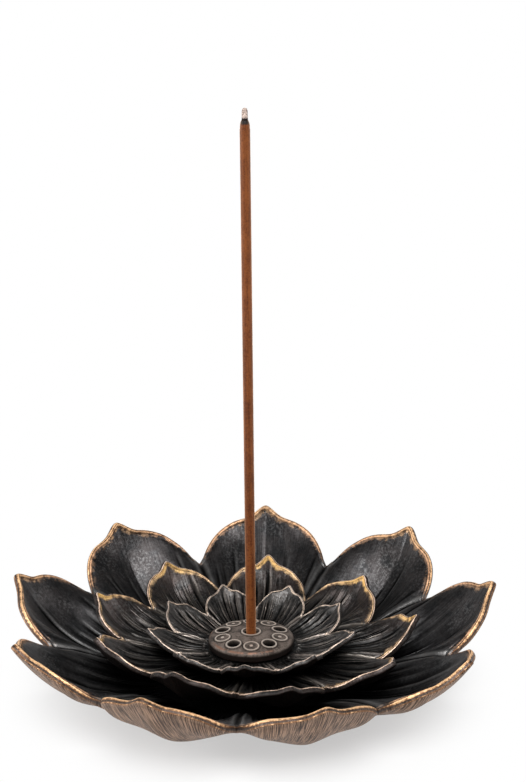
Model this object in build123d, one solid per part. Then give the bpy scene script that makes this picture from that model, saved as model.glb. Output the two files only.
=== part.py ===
from build123d import *
from math import atan, cos, exp, pi, sin, sqrt, tan, radians
import os

# Lotus incense stick holder: three cast petal tiers on one pedestal, clamped by the threaded
# stud of the seed pod and a nut in a recess underneath. Millimetres, +Z up, origin on the
# flower's axis in the table plane, +Y through the middle of one outer petal.

# Petals: each tier is one casting with this many petals
petal_count = 9
shoulder_share = 0.78      # part of the lobe's depth that the round shoulder takes, the tip has the rest
shoulder_power = 3.4       # squareness of the shoulder
tip_spread = 0.184         # half width of the pointed tip, as a share of the half petal
tip_power = 1.6            # sharpness of the pointed tip
notch_round = 0.08         # corner of the web at the notch, as a share of the half petal
cup_power = 2.5            # how late a petal's sides turn up, from its middle to its ridges
fold_lift = 1.0            # how much sooner they do towards the tip, where the petal folds
fold_width = 0.6           # half width of the fold, as a share of the half petal
fold_power = 1.5           # hollowness of the fold's two sides
fold_start = 2.5           # how late the fold starts along the petal
fold_end = 8.0             # how late it ends towards the rim
fold_below = 0.5           # share of the fold's depth that shows underneath
root_blend = 6.0           # how soon the wall stands square to the skin where it leaves the floor
root_taper = 3.0           # how soon the floor's thickness goes over into the wall's

# Outer tier
outer_tip_radius = 55.0
outer_notch_depth = 10.8   # from the tip circle to the notch between two petals
outer_notch_width = 1.5    # flat web at the notch
outer_rise = 19.0          # tip above the tier's floor
outer_rim_power = 2.14     # rim height against radius, from notch to tip
outer_bowl_power = 2.95    # rise along a petal's middle
outer_ridge_power = 1.6    # rise along the ridge between two petals
outer_floor_radius = 20.0
outer_floor_thickness = 2.2
outer_wall = 1.3
outer_crease = 1.6         # depth of the fold along a petal's middle

# Middle tier
middle_tip_radius = 36.7
middle_notch_depth = 8.8
middle_notch_width = 0.6
middle_rise = 9.0
middle_rim_power = 2.75
middle_bowl_power = 4.3
middle_ridge_power = 1.8
middle_floor_radius = 14.0
middle_floor_thickness = 1.2
middle_wall = 1.1
middle_crease = 0.9
middle_turn = 2.8          # degrees, clockwise from above, against the outer tier

# Inner tier
inner_tip_radius = 23.05
inner_notch_depth = 6.4
inner_notch_width = 0.35
inner_rise = 5.8
inner_rim_power = 2.22
inner_bowl_power = 2.8
inner_ridge_power = 1.3
inner_floor_radius = 9.0
inner_floor_thickness = 1.3
inner_wall = 0.9
inner_crease = 0.5
inner_turn = 19.4

# Seed pod with its hollow stud
pod_radius = 9.4
pod_height = 3.6
pod_crown = 1.1            # rise of the domed top, from its edge to its middle
pod_top_round = 1.0
pod_seat_inset = 0.6       # seat ring inside the inner tier's flat floor
pod_gap = 0.35             # shadow gap under the pod's edge
pod_undercut = 0.3         # bevel along the pod's lower edge
seed_count = 5             # open stick holes, with as many closed seeds between them
seed_inset = 2.8           # from the pod's side to the circle of seeds
seed_turn = -4.2           # degrees, of the first open hole against +Y, clockwise
seed_hole_radius = 1.4
seed_dot_radius = 0.4
seed_lip_width = 0.35
seed_lip_height = 0.2
stud_diameter = 6.0
mouth_lead = 0.6           # widening of the stick bore at its mouth
mouth_depth = 1.0
mouth_land = 0.1           # straight top of the mouth

# Fastening
thread_clearance = 0.05    # plain cylinders stand for the thread
hole_clearance = 0.15      # around the stud, in each tier
nut_across_flats = 10.0
nut_height = 3.2
nut_bevel = 30.0           # degrees, of the bevelled corners
nut_table_gap = 0.2        # nut above the base of the casting
washer_thickness = 1.6
washer_width = 2.5
washer_split = 1.0
washer_slant = 20.0        # degrees, of the split
socket_clearance = 1.2     # around the nut, for a box spanner
pedestal_wall = 2.0
pedestal_web = 1.3         # casting above the recess, which the nut pulls on

# Foot pad, a die-cut rubber disc that also covers the nut
foot_thickness = 1.2
foot_inset = 1.0           # from the edge of the flat underside

# Incense stick, partly burnt
stick_diameter = 2.2
stick_clearance = 0.15
stick_above_pod = 112.3    # unburnt length in sight
char_height = 1.9
ash_height = 2.6
ash_diameter = 1.4
bore_floor = 1.2           # metal under the stick
stick_rest_gap = 0.05

# Heights of the stack, from the table up
base_z = foot_thickness
outer_floor_z = base_z + outer_floor_thickness
recess_top_z = base_z + nut_table_gap + nut_height + washer_thickness
pedestal_z = recess_top_z + pedestal_web
middle_floor_z = pedestal_z + middle_floor_thickness
inner_floor_z = middle_floor_z + inner_floor_thickness
pod_top_z = inner_floor_z + pod_height
pod_edge_z = pod_top_z - pod_crown
nut_z = base_z + nut_table_gap
bore_floor_z = nut_z + bore_floor

# Radii that follow from the fits
stud_radius = stud_diameter / 2
stud_hole_radius = stud_radius + hole_clearance
recess_radius = nut_across_flats / sqrt(3) + socket_clearance
pedestal_radius = recess_radius + pedestal_wall
bore_radius = stick_diameter / 2 + stick_clearance
mouth_radius = bore_radius + mouth_lead
seed_circle_radius = pod_radius - seed_inset
crown_radius = (pod_radius ** 2 + pod_crown ** 2) / (2 * pod_crown)

grid_steps = 16            # patches of the petal surfaces, each way


class Tier:
    def __init__(self, floor_z, tip_radius, notch_depth, notch_width, rise, rim_power, bowl_power,
                 ridge_power, floor_radius, floor_thickness, wall, crease):
        self.floor_z = floor_z
        self.tip_radius = tip_radius
        self.notch_radius = tip_radius - notch_depth
        self.lobe_share = 1 - notch_width / 2 / (self.notch_radius * pi / petal_count)
        self.rise = rise
        self.rim_power = rim_power
        self.bowl_power = bowl_power
        self.ridge_power = ridge_power
        self.floor_radius = floor_radius
        self.floor_thickness = floor_thickness
        self.wall = wall
        self.crease = crease

    def across_lobe(self, turn):
        """0 on a petal's middle to 1 on the web; turn runs from 0 to 1 over the half pitch."""
        straight = turn / self.lobe_share
        share = min(max(0.5 + 0.5 * (1 - straight) / notch_round, 0), 1)
        return straight * share + (1 - share) - notch_round * share * (1 - share)

    def reach(self, across):
        """Radius of the rim."""
        tip_end = exp(-(1 / tip_spread) ** tip_power)
        tip = (exp(-(across / tip_spread) ** tip_power) - tip_end) / (1 - tip_end)
        lobe = shoulder_share * (1 - across ** shoulder_power) + (1 - shoulder_share) * tip
        return self.notch_radius + (self.tip_radius - self.notch_radius) * lobe

    def fold(self, along, across):
        """Depth of the fold, a keel that is deepest shortly before the rim."""
        rest = fold_end / (fold_start + fold_end)
        peak = (1 - rest) ** (fold_start / fold_end) * rest
        swell = along ** fold_start * (1 - along ** fold_end) / peak
        return self.crease * swell * max(1 - across / fold_width, 0) ** fold_power

    def skin(self, along, turn):
        """Points on the upper and lower skin; along runs from 0 at the floor to 1 at the rim."""
        across = self.across_lobe(turn)
        length = self.reach(across) - self.floor_radius
        rim_rise = self.rise * (length / (self.tip_radius - self.floor_radius)) ** self.rim_power
        rim_side = across ** (cup_power - fold_lift)
        rim_lean = atan((1 - rim_side) * rim_rise / length * self.bowl_power)
        length = length - self.wall * sin(rim_lean)     # the rim's outer edge is at the full reach
        radius = self.floor_radius + length * along
        side = across ** (cup_power - fold_lift * along)
        middle_climb = along ** self.bowl_power
        ridge_climb = 1 - (1 - along) ** self.ridge_power
        height = self.floor_z + rim_rise * ((1 - side) * middle_climb + side * ridge_climb)
        middle_rate = self.bowl_power * along ** (self.bowl_power - 1)
        ridge_rate = self.ridge_power * (1 - along) ** (self.ridge_power - 1)
        steepness = rim_rise / length * ((1 - side) * middle_rate + side * ridge_rate)
        lean = atan(steepness) * (1 - (1 - along) ** root_blend)
        thick = self.wall + (self.floor_thickness - self.wall) * (1 - along) ** root_taper
        fold = self.fold(along, across)
        angle = turn * pi / petal_count
        under = radius + thick * sin(lean)
        under_height = height - thick * cos(lean) - fold_below * fold
        upper = (radius * sin(angle), radius * cos(angle), height - fold)
        lower = (under * sin(angle), under * cos(angle), under_height)
        return upper, lower


def edge_at(face, picker):
    """The edge of a patch whose middle scores lowest."""
    return min(face.edges(), key=lambda edge: picker(edge @ 0.5))


def half_petal(tier):
    """Upper, lower and rim patch of the half petal beside +Y, towards +X."""
    steps = [i / grid_steps for i in range(grid_steps + 1)]
    points = [[tier.skin(along, turn) for turn in steps] for along in steps]
    upper = Face.make_surface_from_array_of_points([[p[0] for p in row] for row in points], tol=1e-3)
    lower = Face.make_surface_from_array_of_points([[p[1] for p in row] for row in points], tol=1e-3)
    outermost = lambda point: -sqrt(point.X ** 2 + point.Y ** 2)
    rim = Face.make_surface_from_curves(edge_at(upper, outermost), edge_at(lower, outermost))
    return upper, lower, rim


def petal_tier(tier):
    """One casting: a flat round floor that opens into petals, all faces sewn into one solid."""
    innermost = lambda point: sqrt(point.X ** 2 + point.Y ** 2)
    faces = []
    floor_edges = []
    under_edges = []
    pitch = 360 / petal_count
    patches = half_petal(tier)
    for petal in range(petal_count):
        for mirrored in (False, True):
            placed = [p.mirror(Plane.YZ) if mirrored else p for p in patches]
            placed = [p.rotate(Axis.Z, -pitch * petal) for p in placed]
            faces += placed
            floor_edges.append(edge_at(placed[0], innermost))
            under_edges.append(edge_at(placed[1], innermost))
    faces.append(Face(Wire(floor_edges)))
    faces.append(Face(Wire(under_edges)))
    return Solid(Shell(faces))


def post(radius, bottom, top):
    """Upright cylinder on the axis between two heights."""
    return Pos(0, 0, bottom) * Cylinder(radius, top - bottom, align=(Align.CENTER, Align.CENTER, Align.MIN))


def tube(outer, inner, bottom, top):
    return post(outer, bottom, top) - post(inner, bottom, top)


def make_outer_tier():
    tier = Tier(outer_floor_z, outer_tip_radius, outer_notch_depth, outer_notch_width, outer_rise,
                outer_rim_power, outer_bowl_power, outer_ridge_power, outer_floor_radius,
                outer_floor_thickness, outer_wall, outer_crease)
    body = petal_tier(tier) + post(pedestal_radius, base_z, pedestal_z)
    body -= post(recess_radius, base_z, recess_top_z)
    return body - post(stud_hole_radius, base_z, pedestal_z)


def make_middle_tier():
    tier = Tier(middle_floor_z, middle_tip_radius, middle_notch_depth, middle_notch_width, middle_rise,
                middle_rim_power, middle_bowl_power, middle_ridge_power, middle_floor_radius,
                middle_floor_thickness, middle_wall, middle_crease)
    body = petal_tier(tier) - post(stud_hole_radius, pedestal_z, middle_floor_z)
    return body.rotate(Axis.Z, -middle_turn)


def make_inner_tier():
    tier = Tier(inner_floor_z, inner_tip_radius, inner_notch_depth, inner_notch_width, inner_rise,
                inner_rim_power, inner_bowl_power, inner_ridge_power, inner_floor_radius,
                inner_floor_thickness, inner_wall, inner_crease)
    body = petal_tier(tier) - post(stud_hole_radius, middle_floor_z, inner_floor_z)
    return body.rotate(Axis.Z, -inner_turn)


def seed_places(offset):
    """Places on the pod's domed top, offset in steps of half a pitch."""
    pitch = 360 / seed_count
    for index in range(seed_count):
        angle = radians(seed_turn + pitch * (index + offset))
        yield seed_circle_radius * sin(angle), seed_circle_radius * cos(angle)


def make_seed_pod():
    seat = inner_floor_radius - pod_seat_inset
    lip_z = inner_floor_z + pod_gap
    outline = Polyline((0, pod_top_z), (0, inner_floor_z), (seat, inner_floor_z), (seat, lip_z),
                       (pod_radius - pod_undercut, lip_z), (pod_radius, lip_z + pod_undercut),
                       (pod_radius, pod_edge_z))
    crown = TangentArc((0, pod_top_z), (pod_radius, pod_edge_z), tangent=(1, 0))
    section = make_face(outline.edges() + crown.edges())
    corner = max(section.vertices(), key=lambda vertex: vertex.X + vertex.Y)
    section = fillet(corner, pod_top_round)
    pod = revolve(Plane.XZ * section, Axis.Z)
    pod += post(stud_radius, nut_z, inner_floor_z)
    lip_top = pod_top_z + seed_lip_height
    raised_crown = Pos(0, 0, lip_top - crown_radius) * Sphere(crown_radius)
    boss = post(seed_hole_radius + seed_lip_width, pod_edge_z, lip_top)
    lip = tube(seed_hole_radius + seed_lip_width, seed_hole_radius, pod_edge_z, lip_top)
    hole = post(seed_hole_radius, inner_floor_z, lip_top)
    dot = post(seed_dot_radius, pod_edge_z, lip_top)
    for x, y in seed_places(0):
        pod = pod + (Pos(x, y, 0) * boss & raised_crown) - Pos(x, y, 0) * hole
    for x, y in seed_places(0.5):
        pod = pod + (Pos(x, y, 0) * lip & raised_crown) + (Pos(x, y, 0) * dot & raised_crown)
    pod += post(mouth_radius + seed_lip_width, pod_edge_z, lip_top) & raised_crown
    bore = Polyline((0, bore_floor_z), (bore_radius, bore_floor_z), (bore_radius, pod_top_z - mouth_depth),
                    (mouth_radius, pod_top_z - mouth_land), (mouth_radius, lip_top), (0, lip_top), close=True)
    return pod - revolve(Plane.XZ * make_face(bore), Axis.Z)


def make_clamp_nut():
    blank = extrude(RegularPolygon(nut_across_flats / 2, 6, major_radius=False), nut_height)
    corner = nut_across_flats / sqrt(3)
    bevel = (corner - nut_across_flats / 2) * tan(radians(nut_bevel))
    flat = nut_across_flats / 2
    crown = Polyline((0, 0), (flat, 0), (corner, bevel), (corner, nut_height - bevel),
                     (flat, nut_height), (0, nut_height), close=True)
    blank &= revolve(Plane.XZ * make_face(crown), Axis.Z)
    return Pos(0, 0, nut_z) * (blank - post(stud_radius + thread_clearance, 0, nut_height))


def make_spring_washer():
    inner = stud_radius + hole_clearance
    outer = inner + washer_width
    ring = tube(outer, inner, 0, washer_thickness)
    cutter = Box(2 * outer, washer_split, 3 * washer_thickness, align=(Align.MIN, Align.CENTER, Align.CENTER))
    ring -= Pos(0, 0, washer_thickness / 2) * Rot(washer_slant, 0, 0) * cutter
    return Pos(0, 0, nut_z + nut_height) * ring


def make_foot_pad():
    return post(outer_floor_radius - foot_inset, 0, base_z)


def make_stick():
    """Unburnt stick, charred band and ash tip, end to end."""
    stick_z = bore_floor_z + stick_rest_gap
    char_z = pod_top_z + stick_above_pod
    ash_z = char_z + char_height
    stick = post(stick_diameter / 2, stick_z, char_z)
    char = post(stick_diameter / 2, char_z, ash_z)
    ash = post(ash_diameter / 2, ash_z, ash_z + ash_height)
    return stick, char, ash


incense_stick, charred_band, ash_tip = make_stick()
pieces = {
    "outer_petal_tier": make_outer_tier(),
    "middle_petal_tier": make_middle_tier(),
    "inner_petal_tier": make_inner_tier(),
    "seed_pod": make_seed_pod(),
    "clamp_nut": make_clamp_nut(),
    "spring_washer": make_spring_washer(),
    "foot_pad": make_foot_pad(),
    "incense_stick": incense_stick,
    "charred_band": charred_band,
    "ash_tip": ash_tip,
}

os.makedirs("parts", exist_ok=True)
for name, piece in pieces.items():
    export_step(piece, f"parts/{name}.step")
    print(f"{name}: {len(piece.solids())} solid, {piece.volume:.1f} mm3")
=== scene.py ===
import math
import bpy
import numpy as np
from mathutils import Matrix


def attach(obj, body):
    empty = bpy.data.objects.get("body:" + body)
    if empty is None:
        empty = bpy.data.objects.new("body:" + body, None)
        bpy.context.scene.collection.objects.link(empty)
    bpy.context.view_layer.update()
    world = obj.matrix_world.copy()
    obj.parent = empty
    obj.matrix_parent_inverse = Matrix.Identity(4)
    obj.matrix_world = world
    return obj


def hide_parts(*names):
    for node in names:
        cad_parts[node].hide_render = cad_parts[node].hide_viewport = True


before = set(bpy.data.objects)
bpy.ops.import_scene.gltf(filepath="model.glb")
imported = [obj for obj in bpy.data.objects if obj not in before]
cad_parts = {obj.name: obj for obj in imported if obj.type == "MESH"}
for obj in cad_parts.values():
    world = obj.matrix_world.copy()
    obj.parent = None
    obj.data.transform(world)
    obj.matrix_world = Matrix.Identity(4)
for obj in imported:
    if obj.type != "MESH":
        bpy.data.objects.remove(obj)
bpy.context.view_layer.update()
mm = 0.001
mmPerMetre = 1000.0
sharpAngle = 55.0  # edges that turn more than this stay sharp, in degrees
print("frame loaded with", len(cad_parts), "nodes")


# A value in a node tree: sums, products and powers of values add their Math nodes
class Value:
    def __init__(self, look, socket):
        self.look = look
        self.socket = socket

    def __add__(self, other):
        return self.look.math("ADD", self, other)

    def __radd__(self, other):
        return self.look.math("ADD", other, self)

    def __sub__(self, other):
        return self.look.math("SUBTRACT", self, other)

    def __rsub__(self, other):
        return self.look.math("SUBTRACT", other, self)

    def __mul__(self, other):
        return self.look.math("MULTIPLY", self, other)

    def __rmul__(self, other):
        return self.look.math("MULTIPLY", other, self)

    def __pow__(self, other):
        return self.look.math("POWER", self, other)

    # first at low, last at high, smooth between; low may be the larger one
    def ramp(self, low, high, first=0.0, last=1.0):
        return self.look.node("ShaderNodeMapRange", {"interpolation_type": "SMOOTHSTEP"},
                              {"Value": self, "From Min": low, "From Max": high,
                               "To Min": first, "To Max": last})

    # 1 where the value is 0, falling off over the width
    def bell(self, width):
        return self.look.math("ABSOLUTE", self).ramp(width, 0.0)

    def clamp(self):
        return self.look.node("ShaderNodeClamp", {}, {"Value": self})


# The node tree of a material or of the sky: node() makes any node, sets its settings, then its sockets
class Look:
    def __init__(self, owner):
        self.owner = owner
        owner.use_nodes = True
        self.tree = owner.node_tree
        self.tree.nodes.clear()

    def node(self, kind, settings=None, sockets=None, output=0):
        made = self.tree.nodes.new(kind)
        for key, value in (settings or {}).items():
            setattr(made, key, value)
        for key, value in (sockets or {}).items():
            if isinstance(value, Value):
                self.tree.links.new(value.socket, made.inputs[key])
            else:
                made.inputs[key].default_value = value
        return Value(self, made.outputs[output]) if made.outputs else None

    def math(self, operation, first, second=0.0):
        return self.node("ShaderNodeMath", {"operation": operation}, {0: first, 1: second})

    def place(self):
        return self.node("ShaderNodeTexCoord", output="Object")

    def axis(self, vector, letter):
        return self.node("ShaderNodeSeparateXYZ", {}, {0: vector}, output=letter)

    def attribute(self, name, output="Fac"):
        return self.node("ShaderNodeAttribute", {"attribute_name": name}, output=output)

    def stretch(self, vector, scale):
        return self.node("ShaderNodeVectorMath", {"operation": "MULTIPLY"}, {0: vector, 1: scale})

    def noise(self, vector, scale, detail=3.0, roughness=0.55):
        return self.node("ShaderNodeTexNoise", {},
                         {"Vector": vector, "Scale": scale, "Detail": detail, "Roughness": roughness})

    # Goes from the first colour to the second as share goes from 0 to 1
    def mix(self, share, first, second):
        colours = [given if isinstance(given, Value) else (*given, 1.0) for given in (first, second)]
        return self.node("ShaderNodeMix", {"data_type": "RGBA"},
                         {0: share, 6: colours[0], 7: colours[1]}, output=2)

    def bump(self, height, distance):
        return self.node("ShaderNodeBump", {}, {"Height": height, "Distance": distance})

    def close(self, sockets):
        surface = self.node("ShaderNodeBsdfPrincipled", {}, sockets)
        self.node("ShaderNodeOutputMaterial", {}, {"Surface": surface})
        return self.owner


# A smooth step from 0 at low to 1 at high, on arrays
def smooth(values, low, high):
    share = np.clip((values - low) / (high - low), 0, 1)
    return share * share * (3 - 2 * share)


# A bell of height 1 at the middle, falling off over the width
def bell(values, middle, width):
    return np.exp(-((values - middle) / width) ** 2)


# Points on circles round the axis; the azimuth runs clockwise from +Y
def ringPoints(radius, height, azimuth):
    shape = np.broadcast(radius, height, azimuth).shape
    return np.stack([np.broadcast_to(radius * np.sin(azimuth), shape),
                     np.broadcast_to(radius * np.cos(azimuth), shape),
                     np.broadcast_to(height, shape)], -1)


# How many waves a casting's swell has, and the ranges that each wave is drawn from
swell = {"waves": 14, "turns": (5, 46), "along": (3, 14), "phase": (0, 6.28)}


# Irregular small swell of a casting: a sum of a few sine waves round the piece and along it
def unevenness(azimuth, along, rng, waves=swell["waves"]):
    total = np.zeros(np.broadcast(azimuth, along).shape)
    for _ in range(waves):
        turns = rng.integers(*swell["turns"])
        climb = rng.uniform(*swell["along"])
        total = total + np.sin(turns * azimuth + climb * along + rng.uniform(*swell["phase"]))
    return total / math.sqrt(waves)


# Puts a grid of points, rows by columns by xyz in mm, into a mesh whose quads join the grid's
# neighbours; the last column joins the first, and where rows are closed the last row does too
def gridPiece(name, points, closeRows, attributes, material):
    rows, columns = points.shape[:2]
    index = np.arange(rows * columns).reshape(rows, columns)
    if closeRows:
        index = np.vstack([index, index[:1]])
    index = np.hstack([index, index[:, :1]])
    quads = np.stack([index[:-1, :-1], index[:-1, 1:], index[1:, 1:], index[1:, :-1]], -1).reshape(-1, 4)
    mesh = bpy.data.meshes.new(name)
    mesh.vertices.add(rows * columns)
    mesh.vertices.foreach_set("co", (points * mm).astype(np.float32).ravel())
    mesh.loops.add(quads.size)
    mesh.loops.foreach_set("vertex_index", quads.astype(np.int32).ravel())
    mesh.polygons.add(len(quads))
    mesh.polygons.foreach_set("loop_start", np.arange(0, quads.size, 4, dtype=np.int32))
    mesh.update(calc_edges=True)
    mesh.validate()
    mesh.shade_smooth()
    mesh.set_sharp_from_angle(angle=math.radians(sharpAngle))
    for key, values in attributes.items():
        kind, field = ("FLOAT_VECTOR", "vector") if values.ndim == 3 else ("FLOAT", "value")
        layer = mesh.attributes.new(key, kind, "POINT")
        layer.data.foreach_set(field, values.astype(np.float32).ravel())
    mesh.materials.append(material)
    piece = bpy.data.objects.new(name, mesh)
    bpy.context.collection.objects.link(piece)
    return piece


# The camera stands where the photograph's did: turn goes round the flower from the -Y side
cameraPlace = {
    "turn": 4.161, "climb": 24.411, "distance": 515.3, "aimHeight": 12.0,
    "pitch": 18.346, "yaw": 0.386, "roll": -0.586,
    "focalPixels": 2325.6, "framePixels": 782, "sensor": 36.0, "nearest": 0.01,
}


def setCamera(view):
    angles = ("turn", "climb", "pitch", "yaw", "roll")
    turn, climb, pitch, yaw, roll = (math.radians(view[key]) for key in angles)
    reach = view["distance"] * math.cos(climb)
    heading = turn - yaw
    spot = np.array([reach * math.sin(turn), -reach * math.cos(turn),
                     view["aimHeight"] + view["distance"] * math.sin(climb)])
    ahead = np.array([-math.sin(heading) * math.cos(pitch),
                      math.cos(heading) * math.cos(pitch), -math.sin(pitch)])
    right = np.array([math.cos(heading), math.sin(heading), 0.0])
    up = np.cross(right, ahead)
    data = bpy.data.cameras.new("camera")
    data.sensor_width = view["sensor"]
    data.lens = view["focalPixels"] / view["framePixels"] * view["sensor"]
    data.clip_start = view["nearest"]
    camera = bpy.data.objects.new("camera", data)
    bpy.context.collection.objects.link(camera)
    matrix = np.eye(4)
    matrix[:3, 0] = right * math.cos(roll) + up * math.sin(roll)
    matrix[:3, 1] = up * math.cos(roll) - right * math.sin(roll)
    matrix[:3, 2] = -ahead
    matrix[:3, 3] = spot * mm
    camera.matrix_world = Matrix(matrix.tolist())
    bpy.context.scene.camera = camera


setCamera(cameraPlace)
print("camera set")


# Every tier has this petal; places and widths are shares of a petal's half width
petal = {
    "count": 9, "shoulderShare": 0.78, "tipSpread": 0.184, "tipPower": 1.6, "notchRound": 0.08,
    "cupPower": 2.5, "foldLift": 1.0, "foldWidth": 0.6, "foldPower": 1.5,
    "foldStart": 2.5, "foldEnd": 8.0, "foldBelow": 0.15, "leanPower": 6, "rootPower": 3,
    "humpPlace": 0.47, "humpWidth": 0.17, "neckPlace": 0.2, "neckWidth": 0.085,  # waves of the rim
    "wavePower": 5, "bendPower": 3,
    "fillPlace": 0.64, "fillWidth": 0.27, "fillStart": 2, "fillEnd": 10,  # full flanks underneath
    "crowding": 0.4, "rowPower": 1.5, "rimSteps": 13,  # how the grid's lines are spread
}

# Carving on the upper skin: each groove draws its end and depth from a range, and the other pairs are
# where something starts and is whole on the way along a petal
carving = {
    "grooveSpan": 0.88, "grooveShift": 0.3, "grooveEnds": (0.72, 1.12), "grooveDepths": (0.35, 1.0),
    "grooveRoot": (0.02, 0.12), "grooveFade": 0.25, "lineBeside": 1.9, "lineWidth": 0.7, "lineHeight": 0.45,
    "edgeRoot": (0.03, 0.2), "edgeWidth": 0.45, "valleyWidth": 0.55, "valleyEnd": (0.9, 0.99),
    "grainRound": 2, "grainAlong": 3, "grainRoot": (0.0, 0.3),
    "stamenWidth": 0.4, "stamenPower": 3, "stamenLevel": 0.8, "stamenUneven": 0.4,
}

# The bead along the rim, with places and widths as shares of its width
rimBead = {"outer": 1.15, "inner": 0.6, "groove": 0.25, "groovePlace": 1.45, "grooveWidth": 0.25}

# Where the finish is rubbed, where two painted highlight lines run round the rim and where a painted shade
# line lies under the lip: shares of a petal's half width, of the bead's width or of the way round the rim
rubbing = {
    "notch": (0.72, 0.95), "haloSides": 0.45, "haloTip": 0.55, "haloSpread": 0.4, "haloInner": 0.7,
    "rimOuter": 0.95, "rimInner": 0.45, "upperHighlightLine": (0.2, 0.1), "lowerHighlightLine": (0.7, 0.07),
    "bandStart": (0.0, 0.1), "bandEnd": (0.34, 0.5), "under": (0.35, 0.9),
    "grooveGain": 2, "lipShade": 0.4, "lipPlace": 1.4, "lipWidth": 0.3,
    "placeWidth": 40, "petalsApart": 9.7, "tiersApart": 3.1,  # the frame of petalPlace
}


# Way across a petal, 0 on its middle and 1 on the flat web at the notch, with a rounded corner between
def acrossOf(offset, tier):
    notchArc = (tier["tipRadius"] - tier["notchDepth"]) * np.pi / petal["count"]
    straight = np.abs(offset) / (1 - tier["notchWidth"] / 2 / notchArc)
    corner = petal["notchRound"]
    share = np.clip(0.5 + 0.5 * (1 - straight) / corner, 0, 1)
    return np.clip(straight * share + (1 - share) - corner * share * (1 - share), 0, 1)


# How far out the rim is, 0 at the notch and 1 at the tip: a blunt shoulder plus a pointed bell
def lobe(across, power):
    end = math.exp(-(1 / petal["tipSpread"]) ** petal["tipPower"])
    tip = (np.exp(-(across / petal["tipSpread"]) ** petal["tipPower"]) - end) / (1 - end)
    share = petal["shoulderShare"]
    return share * (1 - across ** power) + (1 - share) * tip


# Depth of the keel that folds each petal: it grows along the petal and ends shortly before the rim
def foldDepth(tier, along, across):
    start, end = petal["foldStart"], petal["foldEnd"]
    rest = end / (start + end)
    peak = (1 - rest) ** (start / end) * rest
    growth = along ** start * (1 - along ** end) / peak
    return tier["crease"] * growth * np.maximum(1 - across / petal["foldWidth"], 0) ** petal["foldPower"]


# Upper and lower skin of a petal as radius and height: the middle line climbs by one power of the
# way along, the ridge between petals by another, and the lower skin lies a wall's thickness below;
# towards the tip the sides turn up sooner, on both sides of the fold
def skins(tier, along, across):
    inner = tier["floorRadius"]
    reach = tier["tipRadius"] - tier["notchDepth"] * (1 - lobe(across, tier["shoulderPower"])) - tier["round"]
    length = reach - inner
    rimRise = tier["rise"] * (length / (tier["tipRadius"] - tier["round"] - inner)) ** tier["rimPower"]
    rimSide = across ** (petal["cupPower"] - petal["foldLift"])
    rimLean = np.arctan((1 - rimSide) * rimRise / length * tier["bowlPower"])
    length = length - tier["wall"] * np.sin(rimLean)
    radius = inner + length * along
    side = across ** (petal["cupPower"] - petal["foldLift"] * along)
    climb = (1 - side) * along ** tier["bowlPower"] + side * (1 - (1 - along) ** tier["ridgePower"])
    height = tier["floorZ"] + rimRise * climb
    rate = (1 - side) * tier["bowlPower"] * along ** (tier["bowlPower"] - 1)
    rate = rate + side * tier["ridgePower"] * (1 - along) ** (tier["ridgePower"] - 1)
    lean = np.arctan(rimRise / length * rate) * (1 - (1 - along) ** petal["leanPower"])
    thick = tier["wall"] + (tier["floorThickness"] - tier["wall"]) * (1 - along) ** petal["rootPower"]
    fold = foldDepth(tier, along, across)
    lowHeight = height - thick * np.cos(lean) - petal["foldBelow"] * fold
    return radius, height - fold, radius + thick * np.sin(lean), lowHeight


# The casting's own small bends, up and outwards, given at a few places round the rim: straight between
# them, then rounded by a running mean under a bell that is cut off at three times its width
def warpOf(tier, azimuth):
    step = 0.5
    fine = np.arange(0, 360, step)
    reach = int(3 * tier["bendSpread"] / step)
    weights = bell(np.arange(-reach, reach + 1) * step, 0, tier["bendSpread"])
    places, lifts, outs = np.array(tier["bends"]).T
    rounded = []
    for values in (lifts, outs):
        straight = np.interp(fine, places, values, period=360)
        around = np.concatenate([straight[-reach:], straight, straight[:reach]])
        mean = np.convolve(around, weights / weights.sum(), "valid")
        rounded.append(np.interp(np.degrees(azimuth) % 360, fine, mean, period=360))
    return rounded


# Columns go once round the flower and crowd at the notches and on the petals' middle lines
def petalColumns(tier):
    step = np.arange(tier["columns"] * petal["count"]) / tier["columns"]
    step = step - petal["crowding"] * np.sin(4 * np.pi * step) / (4 * np.pi)
    petalIndex = np.floor(step).astype(int) % petal["count"]
    offset = ((step % 1) * 2 - 1)[None, :]
    azimuth = ((step - 0.5) * 2 * np.pi / petal["count"] + math.radians(tier["turn"]))[None, :]
    return petalIndex, offset, azimuth


# Both skins as cast: rim waves with a hump on each shoulder and a dip beside the tip, small lumps, the
# bends of single petals, the tier's tilt, and fuller flanks under the petals
def castSkins(tier, topAlong, lowAlong, offset, azimuth, rng):
    away = np.abs(offset)
    across = acrossOf(offset, tier)
    wave = tier["hump"] * bell(away, petal["humpPlace"], petal["humpWidth"])
    wave = wave - tier["neck"] * bell(away, petal["neckPlace"], petal["neckWidth"])
    ripple = wave + tier["lumps"] * unevenness(azimuth, 0.0, rng)
    lift, out = warpOf(tier, azimuth)
    lift = lift + tier["tilt"] * np.cos(azimuth - math.radians(tier["tiltTowards"]))

    # moves a skin with the casting, most at the rim
    def settle(along, radius, height):
        raised = height + ripple * along ** petal["wavePower"] + lift * along ** petal["bendPower"]
        return radius + out * along ** petal["bendPower"], raised

    radius, height = settle(topAlong, *skins(tier, topAlong, across)[:2])
    lowRadius, lowHeight = settle(lowAlong, *skins(tier, lowAlong, across)[2:])
    fullness = lowAlong ** petal["fillStart"] * (1 - lowAlong ** petal["fillEnd"])
    lowHeight = lowHeight - tier["flankFill"] * bell(away, petal["fillPlace"], petal["fillWidth"]) * fullness
    return radius, height, lowRadius, lowHeight


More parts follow.
